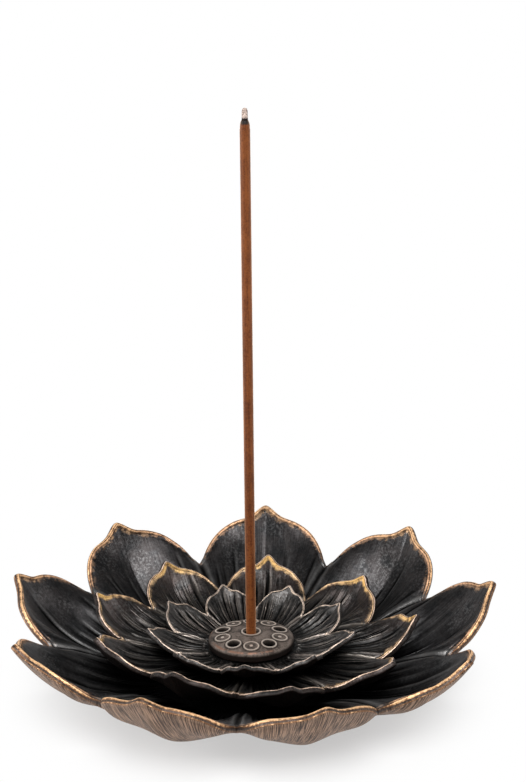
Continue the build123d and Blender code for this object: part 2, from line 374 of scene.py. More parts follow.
# Long grooves from the root, each with a fine raised line beside it, faded out along the petal
def grooves(tier, along, offset, petalIndex, rng):
    count = tier["grooves"]
    width = tier["grooveWidth"]
    each = (petal["count"], count)
    places = (np.arange(count) + 0.5) / count * 2 * carving["grooveSpan"] - carving["grooveSpan"]
    shift = rng.uniform(-carving["grooveShift"], carving["grooveShift"], each) / count
    ends = tier["grooveEnd"] * rng.uniform(*carving["grooveEnds"], each)
    depths = rng.uniform(*carving["grooveDepths"], each)
    dark = np.zeros(np.broadcast(along, offset).shape)
    line = np.zeros_like(dark)
    for index in range(count):
        middle = places[index] + shift[petalIndex, index]
        beside = middle + carving["lineBeside"] * width
        end = ends[petalIndex, index]
        fade = smooth(along, *carving["grooveRoot"]) * (1 - smooth(along, end - carving["grooveFade"], end))
        strength = depths[petalIndex, index] * fade
        dark = np.maximum(dark, strength * bell(offset, middle, width))
        line = np.maximum(line, strength * bell(offset, beside, carving["lineWidth"] * width))
    return dark, line


# Height of the upper skin with its carving: petal edges run on below the notch as two raised lines with
# a valley between them, then come grooves, a slight grain and a ring of stamens
def carve(tier, along, offset, azimuth, petalIndex, radius, height, rng):
    apart = tier["edgeApart"]
    edge = (1 - np.abs(offset)) * np.pi / petal["count"] * radius
    inWeb = smooth(along, *carving["edgeRoot"])
    edgeLine = bell(edge, apart, carving["edgeWidth"] * apart) * inWeb
    valley = bell(edge, 0, carving["valleyWidth"] * apart) * inWeb
    valley = valley * (1 - smooth(along, *carving["valleyEnd"]))
    dark, line = grooves(tier, along, offset, petalIndex, rng)
    height = height + tier["edgeHeight"] * edgeLine - tier["valleyDepth"] * valley
    height = height + tier["grooveDepth"] * (carving["lineHeight"] * line - dark)
    grain = unevenness(azimuth * carving["grainRound"], along * carving["grainAlong"], rng)
    height = height + tier["grain"] * grain * smooth(along, *carving["grainRoot"])
    stamen = np.abs(np.cos(tier["stamens"] / 2 * azimuth)) ** carving["stamenPower"]
    stamen = bell(radius, tier["stamenRadius"], carving["stamenWidth"]) * stamen
    level = carving["stamenLevel"] + carving["stamenUneven"] * unevenness(azimuth, 0.0, rng)
    height = height + tier["stamenHeight"] * stamen * level
    return height, {"edgeLine": edgeLine, "valley": valley, "dark": dark, "line": line, "stamen": stamen}


# The upper skin with a bead along its rim and a fine groove beside that; the distance from the rim is
# measured square to it, and comes back with the rim's direction
def beadRim(tier, top):
    width = tier["beadWidth"]
    rim = top[-1]
    direction = np.roll(rim, -1, 0) - np.roll(rim, 1, 0)
    direction = direction / np.linalg.norm(direction, axis=1, keepdims=True)
    away = top - rim
    away = away - (away * direction).sum(-1, keepdims=True) * direction
    gap = np.linalg.norm(away, axis=-1)
    normal = np.cross(np.roll(top, -1, 1) - np.roll(top, 1, 1), np.gradient(top, axis=0))
    normal = normal / np.maximum(np.linalg.norm(normal, axis=-1, keepdims=True), 1e-9)
    bead = smooth(gap, rimBead["outer"] * width, rimBead["inner"] * width)
    groove = bell(gap, rimBead["groovePlace"] * width, rimBead["grooveWidth"] * width)
    bead = bead - rimBead["groove"] * groove
    return top + normal * (tier["beadHeight"] * bead)[..., None], gap, direction


# The rim is a half round between the two skins, swung from the upper one to the lower one
def halfRound(tier, top, low, direction):
    middle = (top[-1] + low[0]) / 2
    half = (top[-1] - low[0]) / 2
    outward = np.cross(direction, half)
    outward = outward / np.linalg.norm(outward, axis=1, keepdims=True)
    outward = outward * np.sign((outward * (top[-1] - top[-4])).sum(1, keepdims=True))
    swing = np.linspace(0, np.pi, petal["rimSteps"] + 1)[1:-1, None, None]
    return middle + half * np.cos(swing) + outward * tier["round"] * np.sin(swing)


# Masks for the finish, each as values on the upper skin, round the rim and on the lower skin: copper on
# the bead, rubbed copper round the rim with two painted highlight lines, rubbed raised lines with painted
# glints on the stamens, dark grooves with a painted shade line under the lip, and the underside
def rubMasks(tier, offset, rimGap, lowGap, carved):
    width = tier["beadWidth"]
    swing = np.linspace(0, 1, petal["rimSteps"] + 1)[1:-1, None]
    rubbed = 1 - tier["notchDull"] * smooth(np.abs(offset), *rubbing["notch"])
    halo = tier["halo"] * (rubbing["haloSides"] + rubbing["haloTip"] * bell(offset, 0, rubbing["haloSpread"]))
    halo = halo * smooth(rimGap, tier["haloWidth"] * width, rubbing["haloInner"] * width)
    copper = np.maximum(smooth(rimGap, rubbing["rimOuter"] * width, rubbing["rimInner"] * width), halo)
    copper = copper * smooth(rimGap, 0.0, tier["edgeGap"])
    # two painted highlight lines run along the rim's turn, laid over its rubbed copper band
    lowHighlightLine = tier["lowHighlightLine"] * bell(swing, *rubbing["lowerHighlightLine"])
    turnHighlightLines = np.maximum(bell(swing, *rubbing["upperHighlightLine"]), lowHighlightLine)
    turnBand = tier["turnBand"] * smooth(swing, *rubbing["bandStart"])
    turnBand = turnBand * (1 - smooth(swing, *rubbing["bandEnd"]))
    raised = np.maximum(carved["edgeLine"], tier["lineRub"] * carved["line"])
    # the stamens are painted pale as glints, through the mask of rubbed raised lines
    raised = np.maximum(raised, carved["stamen"] * (tier["stamenHeight"] > 0))
    sunk = np.maximum(np.minimum(rubbing["grooveGain"] * carved["dark"], 1), carved["valley"])
    # a painted shade line on the lower skin just under the rim's lip, carried in the groove mask
    lipShade = rubbing["lipShade"] * bell(lowGap, rubbing["lipPlace"] * width, rubbing["lipWidth"] * width)
    return {
        "rimMask": (copper * rubbed, 0.0, 0.0),
        "turnCopperAndHighlightMask": (0.0, np.maximum(turnHighlightLines, turnBand) * rubbed, 0.0),
        "edgeAndGlintMask": (raised, 0.0, 0.0),
        "grooveAndLipShadeMask": (sunk, 0.0, lipShade),
        "underMask": (0.0, smooth(swing, *rubbing["under"]), 1.0),
    }


# One tier is a closed grid: columns go round the flower and rows go from the stud's hole over the
# floor and up a petal, round the rim, down the underside and back through the hole
def petalTier(name, tier, material):
    rng = np.random.default_rng(tier["seed"])
    petalIndex, offset, azimuth = petalColumns(tier)
    topAlong = (1 - (1 - np.linspace(0, 1, tier["topRows"])) ** petal["rowPower"])[:, None]
    lowAlong = topAlong[::-2]
    radius, height, lowRadius, lowHeight = castSkins(tier, topAlong, lowAlong, offset, azimuth, rng)
    height, carved = carve(tier, topAlong, offset, azimuth, petalIndex, radius, height, rng)
    top, rimGap, direction = beadRim(tier, ringPoints(radius, height, azimuth))
    low = ringPoints(lowRadius, lowHeight, azimuth)
    turned = halfRound(tier, top, low, direction)
    inside = [ringPoints(*ring, azimuth) for ring in tier["inside"]]
    below = [ringPoints(*ring, azimuth) for ring in tier["below"]]
    points = np.concatenate([*inside, top, turned, low, *below])

    rows, columns = points.shape[:2]
    counts = [len(inside), len(top), len(turned), len(low), len(below)]

    # one number for each point, blank on the floor's rings and in the hole
    def spread(onTop, onRim, onLow):
        shares = zip((0.0, onTop, onRim, onLow, 0.0), counts)
        return np.concatenate([np.broadcast_to(share, (count, columns)) for share, count in shares])

    lowGap = np.linalg.norm(low - low[0], axis=-1)
    masks = rubMasks(tier, offset, rimGap, lowGap, carved)
    masks["reachShare"] = (topAlong, 1.0, lowAlong)
    attributes = {key: spread(*shares) for key, shares in masks.items()}
    sideways = np.broadcast_to(offset * rubbing["placeWidth"], (rows, columns))
    alongMm = attributes["reachShare"] * (tier["tipRadius"] - tier["floorRadius"])
    which = petalIndex * rubbing["petalsApart"] + tier["seed"] * rubbing["tiersApart"]
    which = np.broadcast_to(which, (rows, columns))
    attributes["petalPlace"] = np.stack([sideways, alongMm, which], -1)
    piece = gridPiece(name, points, True, attributes, material)
    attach(piece, "holder")
    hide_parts(tier["node"])
    print(name, "made with", len(piece.data.polygons), "faces")


# The patina's textures: a noise is its scale, detail and roughness, a stretch goes across and along the
# petal, and a pair is the two levels between which a tone comes in
patinaTexture = {
    "mottle": (260.0, 4.0, 0.55), "grain": (1700.0, 3.0, 0.65), "patch": (110.0, 2.0, 0.55),
    "wear": (700.0, 4.0, 0.65), "middle": 0.5,
    "streakStretch": (2.4, 0.16, 1.0), "streak": (1.0, 3.0, 0.6),
    "brushStretch": (2.2, 0.2, 1.0), "brushed": (1.0, 4.0, 0.7), "brushTone": (0.41, 0.62),
    "foldStretch": 0.012, "folds": (1.0, 1.0, 0.4), "foldRoot": (0.02, 0.2), "foldFade": 0.3,
    "paleBeside": 2.2,
    "speckleMottle": 0.3, "speckleGrain": 0.3, "speckleStreak": 0.4, "speckleTone": (0.38, 0.64),
    "dustGrain": (0.48, 0.64), "dustPatch": (0.42, 0.6), "dustReach": (0.35, 0.75),
    "warmReach": (0.45, 1.0), "warmMottle": (0.3, 0.6), "rootFade": 0.5,
    "copperWear": (0.28, 0.58), "edgeLevel": 0.35, "edgeWear": 0.9, "paleRub": 0.7, "edgeFade": 0.6,
    "rimGain": 1.6, "rimLoss": 0.35, "rimWear": (0.6, 0.4),
    "turnStart": (0.0, 0.3), "turnWear": 1.2, "turnGrain": 1.5, "turnTone": (0.2, 0.8), "edgeShine": 0.6,
    "mottleRough": 0.16, "underRough": 0.15, "grooveRough": 0.1, "turnRough": 0.1, "rimRough": 0.12,
    "underMetal": 0.45, "grooveMetal": 0.15,
    "grainHeight": 0.4, "wearHeight": 0.5, "brushHeight": 1.3, "paleHeight": 0.8, "foldHeight": 1.2,
    "relief": 0.00012,
}


# Dark patinated metal with rubbed copper on the raised edges, painted highlight lines round the rim, painted
# glints on the stamens, and painted shade towards the root, under the lip and on the middle and inner
# undersides, after the masks stored on the petals; a fine line follows the middle level of a noise that is
# stretched along the petal
def patina(name, finish):
    texture = patinaTexture
    look = Look(bpy.data.materials.new(name))
    place = look.place()
    petalPlace = look.attribute("petalPlace", "Vector")
    rim, turn, edge, groove, under, reach = (look.attribute(key) for key in (
        "rimMask", "turnCopperAndHighlightMask", "edgeAndGlintMask", "grooveAndLipShadeMask", "underMask", "reachShare"))
    mottle, grain, patch, wear = (look.noise(place, *texture[key]) for key in (
        "mottle", "grain", "patch", "wear"))
    streak = look.noise(look.stretch(petalPlace, texture["streakStretch"]), *texture["streak"])
    brushed = look.noise(look.stretch(petalPlace, texture["brushStretch"]), *texture["brushed"])
    foldStretch = (finish["lines"], texture["foldStretch"], 1.0)
    folds = look.noise(look.stretch(petalPlace, foldStretch), *texture["folds"])
    lineEnd, lineWidth = finish["lineEnd"], finish["lineWidth"]
    span = reach.ramp(*texture["foldRoot"]) * reach.ramp(lineEnd, lineEnd - texture["foldFade"])
    darkLine = (folds - texture["middle"]).bell(lineWidth) * span
    paleLine = (folds - texture["middle"] - texture["paleBeside"] * lineWidth).bell(lineWidth) * span

    # the dark ground: speckle, dust and warmth towards the rim, black towards the root as patina and as
    # painted shade, brushed underneath
    speckle = texture["speckleMottle"] * mottle + texture["speckleGrain"] * grain
    speckle = speckle + texture["speckleStreak"] * streak
    dark = look.mix(speckle.ramp(*texture["speckleTone"]), finish["dark"], finish["light"])
    dust = grain.ramp(*texture["dustGrain"]) * patch.ramp(*texture["dustPatch"])
    dust = dust * reach.ramp(*texture["dustReach"]) * finish["dust"]
    dark = look.mix(dust, dark, finish["dustColour"])
    warm = reach.ramp(*texture["warmReach"]) * finish["warmth"] * mottle.ramp(*texture["warmMottle"])
    dark = look.mix(warm, dark, finish["warm"])
    rootPatinaAndShade = reach.ramp(finish["rootEnd"], finish["rootEnd"] - texture["rootFade"]) * finish["rootDark"]
    dark = look.mix(rootPatinaAndShade, dark, finish["deep"])
    below = look.mix(brushed.ramp(*texture["brushTone"]), finish["underDark"], finish["underLight"])
    ground = look.mix(under, dark, below)
    # the groove mask also brings the painted shade line under the lip
    sunk = (groove * finish["grooveDark"] + darkLine * (1 - under)).clamp()
    ground = look.mix(sunk, ground, finish["deep"])

    # rubbed lines with painted glints on the stamens, then copper on the bead, more golden at the tips, then
    # rubbed copper round the rim with two painted highlight lines
    worn = edge * (texture["edgeLevel"] + texture["edgeWear"] * wear)
    worn = worn + texture["paleRub"] * paleLine * (1 - under)
    worn = worn * reach.ramp(finish["rootEnd"] - texture["edgeFade"], finish["rootEnd"])
    edgeShare = (worn * finish["edgeWear"]).clamp()
    ground = look.mix(edgeShare, ground, finish["edgeColour"])
    tipShare = look.axis(petalPlace, "X").bell(finish["goldSpan"]) * finish["gold"]
    bright = look.mix(tipShare, finish["rimLight"], finish["goldLight"])
    copper = look.mix(wear.ramp(*texture["copperWear"]), finish["rimDark"], bright)
    rimShare = (rim * texture["rimGain"] - texture["rimLoss"] * wear.ramp(*texture["rimWear"])).clamp()
    turnShare = turn.ramp(*texture["turnStart"])
    turnTone = turn + texture["turnWear"] * (wear - texture["middle"])
    turnTone = turnTone + texture["turnGrain"] * (grain - texture["middle"])
    turnCopperAndHighlight = look.mix(turnTone.ramp(*texture["turnTone"]), finish["turnDark"], finish["turnLight"])
    colour = look.mix(turnShare, look.mix(rimShare, ground, copper), turnCopperAndHighlight)

    shine = (rimShare + turnShare + texture["edgeShine"] * edgeShare).clamp()
    rough = finish["rough"] + texture["mottleRough"] * mottle + texture["underRough"] * under
    rough = rough + texture["grooveRough"] * groove + texture["turnRough"] * turnShare
    rough = (rough + texture["rimRough"] * rimShare).clamp()
    metal = (finish["metal"] - texture["underMetal"] * under + texture["grooveMetal"] * groove).clamp()
    metal = metal + (rimShare + turnShare).clamp() * (finish["rimMetal"] - metal)
    height = texture["grainHeight"] * grain + texture["wearHeight"] * wear * shine
    height = height + texture["brushHeight"] * brushed * under
    height = height + texture["paleHeight"] * paleLine - texture["foldHeight"] * darkLine
    return look.close({"Base Color": colour, "Roughness": rough, "Metallic": metal,
                       "Specular IOR Level": finish["gloss"], "Normal": look.bump(height, texture["relief"])})


# The middle and inner tiers have the outer tier's finish and form, apart from what they name themselves
outerFinish = {
    "dark": (0.02, 0.02, 0.021), "light": (0.066, 0.066, 0.068), "deep": (0.003, 0.003, 0.003),
    "dust": 0.45, "dustColour": (0.15, 0.15, 0.15), "warm": (0.07, 0.03, 0.016), "warmth": 0.12,
    "underDark": (0.04, 0.02, 0.012), "underLight": (0.39, 0.25, 0.168),
    "rootDark": 0.5, "rootEnd": 0.7, "grooveDark": 1.0,
    "rimDark": (0.2, 0.09, 0.04), "rimLight": (0.74, 0.43, 0.25), "rimMetal": 0.5,
    "goldLight": (0.8, 0.54, 0.26), "gold": 0.35, "goldSpan": 26.0,
    "edgeColour": (0.26, 0.255, 0.25), "edgeWear": 0.8,
    "turnDark": (0.18, 0.085, 0.04), "turnLight": (1.0, 0.62, 0.33),
    "lines": 0.12, "lineWidth": 0.02, "lineEnd": 0.7, "rough": 0.3, "metal": 0.85, "gloss": 0.3,
}
middleFinish = {
    **outerFinish,
    "dark": (0.012, 0.012, 0.012), "light": (0.1, 0.098, 0.096),
    "dust": 0.4, "warm": (0.06, 0.026, 0.018), "warmth": 0.35,
    # its underside is the outer tier's brushed brown painted near black as shade
    "underDark": (0.005, 0.003, 0.002), "underLight": (0.016, 0.008, 0.006),
    "rootDark": 0.9, "rootEnd": 0.8,
    "rimDark": (0.24, 0.12, 0.06), "rimLight": (0.86, 0.58, 0.33),
    "goldLight": (0.95, 0.6, 0.22), "gold": 1.0,
    "edgeColour": (0.36, 0.32, 0.28), "edgeWear": 0.7,
    "turnDark": (0.03, 0.015, 0.01), "turnLight": (0.95, 0.7, 0.53),
    "lines": 0.22, "lineWidth": 0.025, "lineEnd": 0.95,
}
innerFinish = {
    **outerFinish,
    "dark": (0.012, 0.012, 0.012), "light": (0.12, 0.118, 0.116),
    "dust": 0.4, "warm": (0.06, 0.04, 0.03), "warmth": 0.2,
    # its underside is the outer tier's brushed brown painted near black as shade
    "underDark": (0.008, 0.005, 0.004), "underLight": (0.025, 0.015, 0.012),
    "rootDark": 0.6, "rootEnd": 0.6,
    "rimDark": (0.34, 0.25, 0.2), "rimLight": (0.85, 0.68, 0.54), "gold": 0.1,
    "edgeColour": (0.5, 0.43, 0.38), "edgeWear": 0.9,
    "turnDark": (0.02, 0.014, 0.012), "turnLight": (0.75, 0.6, 0.5),
    "lines": 0.26, "lineWidth": 0.03, "lineEnd": 0.98,
}

# Lengths in mm; inside and below are the floor's rings as radius and height, and a bend is its place
# round the rim in degrees, its lift and its way outwards
outerTier = {
    "node": "outer_petal_tier", "seed": 3, "turn": 0.0, "columns": 72, "topRows": 78,
    "tipRadius": 55.0, "notchDepth": 10.8, "notchWidth": 1.5, "shoulderPower": 3.4,
    "rise": 19.0, "rimPower": 2.14, "bowlPower": 2.95, "ridgePower": 1.6,
    "wall": 1.3, "crease": 1.6, "round": 0.35,
    "floorZ": 3.4, "floorRadius": 20.0, "floorThickness": 2.2,
    "inside": [(3.15, 7.5), (8.9, 7.5), (8.97, 7.43), (8.97, 3.4)],
    "below": [(6.97, 1.2), (6.97, 6.2), (3.15, 6.2)],
    "hump": 0.15, "neck": 0.14, "lumps": 0.07, "grain": 0.05, "flankFill": 4.1,
    "tilt": 0.0, "tiltTowards": 0.0,
    "edgeApart": 1.0, "edgeHeight": 0.2, "valleyDepth": 0.1,
    "grooves": 11, "grooveWidth": 0.024, "grooveDepth": 0.35, "grooveEnd": 0.92,
    "stamens": 0, "stamenRadius": 1.0, "stamenHeight": 0.0,
    "beadWidth": 0.65, "beadHeight": 0.22, "halo": 0.45, "haloWidth": 2.8, "edgeGap": 0.16,
    "notchDull": 0.8, "lowHighlightLine": 0.35, "turnBand": 0.5, "lineRub": 0.8,
    "bendSpread": 2.0,
    "bends": [
        (0, 0, 0), (100, 0, 0), (112, -1.5, 0.5), (120, -2.3, 0.6), (128, -3.3, 0.3), (140, 0.1, 0),
        (145, -1.35, 0), (154, -1.8, 0.2), (160, -2.3, 0.3), (168, -2.1, 0.2), (172, -1.2, 0.1),
        (176.5, -0.6, 0), (180, 0.7, 0), (183.5, -0.9, 0), (188, -0.6, 0.1), (200, -1.0, 0.3),
        (208, -0.8, 0.2), (220, 0, 0), (232, -0.4, 0.9), (240, -0.5, 1.1), (248, -0.4, 0.9),
        (260, 0.3, 0), (280, 0, 0), (300, 0.2, 0), (310, 0, 0.3), (320, 0, 0), (340, 0.1, 0),
    ],
}
middleTier = {
    **outerTier,
    "node": "middle_petal_tier", "seed": 5, "turn": 2.8, "columns": 84, "topRows": 66,
    "tipRadius": 36.7, "notchDepth": 8.8, "notchWidth": 0.6,
    "rise": 9.0, "rimPower": 2.75, "bowlPower": 4.3, "ridgePower": 1.8,
    "wall": 1.1, "crease": 0.9, "round": 0.3,
    "floorZ": 8.7, "floorRadius": 14.0, "floorThickness": 1.2,
    "inside": [(3.15, 8.7)], "below": [(3.15, 7.5)],
    "hump": 0.2, "neck": 0.15, "lumps": 0.12, "flankFill": 0.0, "tilt": 1.55, "tiltTowards": 245.6,
    "edgeApart": 0.55, "edgeHeight": 0.25, "valleyDepth": 0.35,
    "grooves": 9, "grooveWidth": 0.032, "grooveDepth": 0.5, "grooveEnd": 0.98,
    "beadWidth": 0.38, "beadHeight": 0.18, "halo": 0.75, "haloWidth": 3.8, "edgeGap": 0.08,
    "notchDull": 0.5, "lowHighlightLine": 0.0, "turnBand": 0.0, "lineRub": 0.5,
    "bends": [
        (0, 0, 0), (62, 0, 0.1), (74, 0, 0.6), (83, 0, 1.1), (95, 0, 0.5), (103, 0, 0), (114, -0.4, 0.9),
        (123, -0.6, 1.7), (130, -0.5, 0.8), (143, 0, 0), (154, -0.9, 0.1), (163, -1.2, 0.1), (173, -0.8, 0),
        (183, 0, 0), (203, 0, 0), (223, -0.1, 0.1), (235, -0.4, 0.5), (243, -0.4, 0.2), (263, 0, 0.3),
        (274, 0, 0.6), (290, 0, 0.2), (303, 0, 0), (314, 0, 0.4), (330, 0, 0),
    ],
}
innerTier = {
    **outerTier,
    "node": "inner_petal_tier", "seed": 8, "turn": 19.4, "columns": 84, "topRows": 60,
    "tipRadius": 23.05, "notchDepth": 6.4, "notchWidth": 0.35,
    "rise": 5.8, "rimPower": 2.22, "bowlPower": 2.8, "ridgePower": 1.3,
    "wall": 0.9, "crease": 0.5, "round": 0.25,
    "floorZ": 10.0, "floorRadius": 9.0, "floorThickness": 1.3,
    "inside": [(3.15, 10.0)], "below": [(3.15, 8.7)],
    "hump": 0.1, "neck": 0.08, "lumps": 0.1, "flankFill": 0.0,
    "edgeApart": 0.4, "edgeHeight": 0.22, "valleyDepth": 0.3,
    "grooves": 8, "grooveWidth": 0.046, "grooveDepth": 0.42, "grooveEnd": 1.0,
    "stamens": 54, "stamenRadius": 10.4, "stamenHeight": 0.45,
    "beadWidth": 0.21, "beadHeight": 0.14, "halo": 0.2, "edgeGap": 0.06,
    "notchDull": 0.2, "lowHighlightLine": 0.0, "turnBand": 0.0, "lineRub": 0.3,
    "bends": [(0, 0, 0), (80, 0, 0), (99, -0.2, 0.9), (112, 0, 0), (245, 0, 0), (261, 0, 0.5), (275, 0, 0)],
}

petalTier("outerPetals", outerTier, patina("outerPatina", outerFinish))
petalTier("middlePetals", middleTier, patina("middlePatina", middleFinish))
petalTier("innerPetals", innerTier, patina("innerPatina", innerFinish))


# The pod keeps its CAD shape: brown bronze on its dome, pale raised lips, copper along the rounded edge,
# painted shade on its side and black painted shade in its holes; lengths in mm, and levels are heights over
# the dome
podFinish = {
    "topHeight": 13.6, "crown": 1.1, "edgeRadius": 9.4,
    "circle": 6.6, "turn": -4.2, "holes": 5, "holeRadius": 1.4, "mouthRadius": 1.85, "lipWidth": 0.35,
    "dark": (0.03, 0.023, 0.019), "light": (0.17, 0.135, 0.115), "lip": (0.9, 0.78, 0.68),
    "copper": (0.26, 0.14, 0.095), "side": (0.008, 0.005, 0.004), "deep": (0.002, 0.002, 0.002),
    "grain": (2400.0, 3.0, 0.65), "mottle": (420.0, 4.0, 0.55), "wear": (900.0, 4.0, 0.65),
    "patch": (150.0, 2.0, 0.55), "tone": (0.36, 0.64), "sideLevel": (-0.3, -1.0),
    "copperRadius": 9.0, "copperWidth": 0.35, "copperWear": (0.4, 0.6), "copperPatch": (0.42, 0.58),
    "ringShare": 0.9, "shadeShare": 0.8, "shadeLevel": (0.15, 0.05), "shadeDark": 0.75,
    "lipLevel": (0.08, 0.16), "seedDot": (0.5, 0.2), "lipTone": 0.8, "lipWear": 0.6,
    "holeEdge": (0.1, -0.05), "holeLevel": (0.05, -0.25), "mouthEdge": (0.1, 0.0), "mouthLevel": (-0.1, -0.6),
    "copperShine": 0.7, "rough": 0.42, "mottleRough": 0.16, "shineSmooth": 0.12,
    "metal": 0.1, "shineMetal": 0.75, "gloss": 0.2, "grainHeight": 0.6, "wearHeight": 0.3, "relief": 0.0001,
}


# Distance from the nearest of some places evenly round the axis: the way round is folded into one share
def ringGap(look, x, y, radius, count, turn, circle):
    share = look.math("ARCTAN2", x, y) * (count / (2 * math.pi)) - turn * count / 360 + 0.5
    fold = (look.math("FRACT", share) - 0.5) * (2 * math.pi / count)
    sideways = radius * look.math("SINE", fold)
    outward = radius * look.math("COSINE", fold) - circle
    return (sideways * sideways + outward * outward) ** 0.5


def podBronze(finish):
    look = Look(bpy.data.materials.new("podBronze"))
    place = look.place()
    x, y, z = (look.axis(place, letter) * mmPerMetre for letter in "XYZ")
    radius = (x * x + y * y) ** 0.5
    aboveDome = z - finish["topHeight"] + radius * radius * (finish["crown"] / finish["edgeRadius"] ** 2)
    grain, mottle, wear, patch = (look.noise(place, *finish[key]) for key in (
        "grain", "mottle", "wear", "patch"))
    seedGap = ringGap(look, x, y, radius, 2 * finish["holes"], finish["turn"], finish["circle"])
    holeGap = ringGap(look, x, y, radius, finish["holes"], finish["turn"], finish["circle"])

    # the dome, its side painted near black as shade, and the worn edge between them
    colour = look.mix((0.5 * mottle + 0.5 * grain).ramp(*finish["tone"]), finish["dark"], finish["light"])
    colour = look.mix(aboveDome.ramp(*finish["sideLevel"]), colour, finish["side"])
    edgeShare = (radius - finish["copperRadius"]).bell(finish["copperWidth"])
    edgeShare = edgeShare * wear.ramp(*finish["copperWear"]) * patch.ramp(*finish["copperPatch"])
    colour = look.mix(edgeShare, colour, finish["copper"])

    # lips round the seeds, the holes and the stick'finish mouth, with a dark line outside each
    lipLine = finish["holeRadius"] + 0.5 * finish["lipWidth"]
    mouthLine = finish["mouthRadius"] + 0.5 * finish["lipWidth"]
    ringWidth = finish["ringShare"] * finish["lipWidth"]
    shadeWidth = finish["shadeShare"] * finish["lipWidth"]
    ring = (seedGap - lipLine).bell(ringWidth) + (radius - mouthLine).bell(ringWidth)
    shade = (seedGap - lipLine - finish["lipWidth"]).bell(shadeWidth)
    shade = shade + (radius - mouthLine - finish["lipWidth"]).bell(shadeWidth)
    shade = shade * aboveDome.ramp(*finish["shadeLevel"])
    colour = look.mix((finish["shadeDark"] * shade).clamp(), colour, finish["side"])
    raised = aboveDome.ramp(*finish["lipLevel"])
    lip = raised * (ring + seedGap.ramp(*finish["seedDot"]))
    lip = (lip * (finish["lipTone"] + finish["lipWear"] * wear)).clamp()
    colour = look.mix(lip, colour, finish["lip"])

    # painted shade: black inside the holes and the mouth round the stick
    holeShade = (holeGap - finish["holeRadius"]).ramp(*finish["holeEdge"]) * aboveDome.ramp(*finish["holeLevel"])
    mouthShade = (radius - finish["mouthRadius"]).ramp(*finish["mouthEdge"])
    mouthShade = mouthShade * aboveDome.ramp(*finish["mouthLevel"])
    colour = look.mix((holeShade + mouthShade).clamp(), colour, finish["deep"])
    shine = (lip + finish["copperShine"] * edgeShare).clamp()
    rough = finish["rough"] + finish["mottleRough"] * mottle - finish["shineSmooth"] * shine
    metal = (finish["metal"] + finish["shineMetal"] * shine).clamp()
    height = finish["grainHeight"] * grain + finish["wearHeight"] * wear
    return look.close({"Base Color": colour, "Roughness": rough, "Metallic": metal,
                       "Specular IOR Level": finish["gloss"], "Normal": look.bump(height, finish["relief"])})


zincFinish = {
    "dark": (0.4, 0.4, 0.38), "light": (0.66, 0.66, 0.62), "cloud": (500.0, 4.0), "tone": (0.3, 0.7),
    "fineStretch": (900.0, 900.0, 6000.0), "fine": (1.0, 2.0),
    "rough": 0.25, "cloudRough": 0.25, "metal": 0.95, "relief": 0.00003,
}
rubberFinish = {
    "dark": (0.014, 0.014, 0.014), "light": (0.035, 0.035, 0.034), "cloud": (180.0, 4.0), "tone": (0.3, 0.7),
    "fineStretch": (1.0, 1.0, 1.0), "fine": (3200.0, 2.0),
    "rough": 0.72, "cloudRough": 0.2, "metal": 0.0, "relief": 0.0001,
}


# Plating with fine scratches round it, or dull rubber with a fine grain, both clouded
def cloudedLook(name, finish):
    look = Look(bpy.data.materials.new(name))
    place = look.place()
    cloud = look.noise(place, *finish["cloud"])
    fine = look.noise(look.stretch(place, finish["fineStretch"]), *finish["fine"])
    return look.close({"Base Color": look.mix(cloud.ramp(*finish["tone"]), finish["dark"], finish["light"]),
                       "Roughness": finish["rough"] + finish["cloudRough"] * cloud,
                       "Metallic": finish["metal"], "Normal": look.bump(fine, finish["relief"])})


def dress(node, material):
    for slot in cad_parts[node].material_slots:
        slot.material = material


zinc = cloudedLook("zincPlate", zincFinish)
dress("seed_pod", podBronze(podFinish))
dress("clamp_nut", zinc)
dress("spring_washer", zinc)
dress("foot_pad", cloudedLook("blackRubber", rubberFinish))
print("pod, nut, washer and foot pad dressed")


# The stick, its char and its ash are lathe turns of their profiles, with a slightly uneven skin;
# lengths in mm
stickShape = {
    "radius": 1.1, "low": 2.65, "charLow": 125.9, "ashLow": 127.8, "top": 130.4, "columns": 40,
    "shaftRows": 240, "shaftUneven": 0.03, "shaftSeed": 11,
    "footRound": 0.15, "footHeight": 0.1, "headRound": 0.05,
    "charRows": 26, "charUneven": 0.06, "charSeed": 12, "charStep": 0.04, "charTaper": 0.33, "charPower": 3,
    "ashRows": 30, "ashUneven": 0.09, "ashSeed": 13, "ashRadius": 0.7, "ashTaper": 0.1, "ashPower": 8,
    "waves": 10, "waveRate": 0.35, "waveLevel": 0.5, "waveShare": 0.25, "waveLimit": 2, "poleRadius": 0.002,
}
pasteFinish = {
    "dark": (0.068, 0.013, 0.0015), "light": (0.185, 0.053, 0.011), "fleck": (0.04, 0.01, 0.003),
    "burnt": (0.02, 0.008, 0.005), "burntFrom": 127.5, "burntTo": 128.5, "burntRagged": 0.5,
    "grain": (2600.0, 3.0, 0.65), "cloud": (260.0, 3.0), "lines": 1500.0, "lineStretch": 0.04,
    "grainTone": 0.4, "lineTone": 0.4, "cloudTone": 0.2, "tone": (0.38, 0.62),
    "fleckTone": (0.64, 0.74), "fleckShare": 0.4,
    "rough": 0.42, "grainRough": 0.15, "metal": 0.0, "gloss": 0.2,
    "sheen": 0.8, "sheenRough": 0.4, "sheenTint": (1.0, 0.55, 0.3),
    "grainHeight": 0.6, "lineHeight": 0.5, "relief": 0.00004,
}
burntFinish = {
    **pasteFinish,
    "burnt": (0.006, 0.005, 0.005), "burntFrom": 127.0, "burntTo": 127.5, "rough": 0.4, "relief": 0.00008,
}
ashFinish = {
    **pasteFinish,
    "dark": (0.07, 0.045, 0.035), "light": (0.72, 0.58, 0.51), "fleck": (0.8, 0.72, 0.66), "lines": 700.0,
    "burnt": (0.01, 0.008, 0.008), "burntFrom": 128.9, "burntTo": 128.3,
    "sheen": 0.0, "rough": 0.75, "gloss": 0.0, "relief": 0.00008,
}


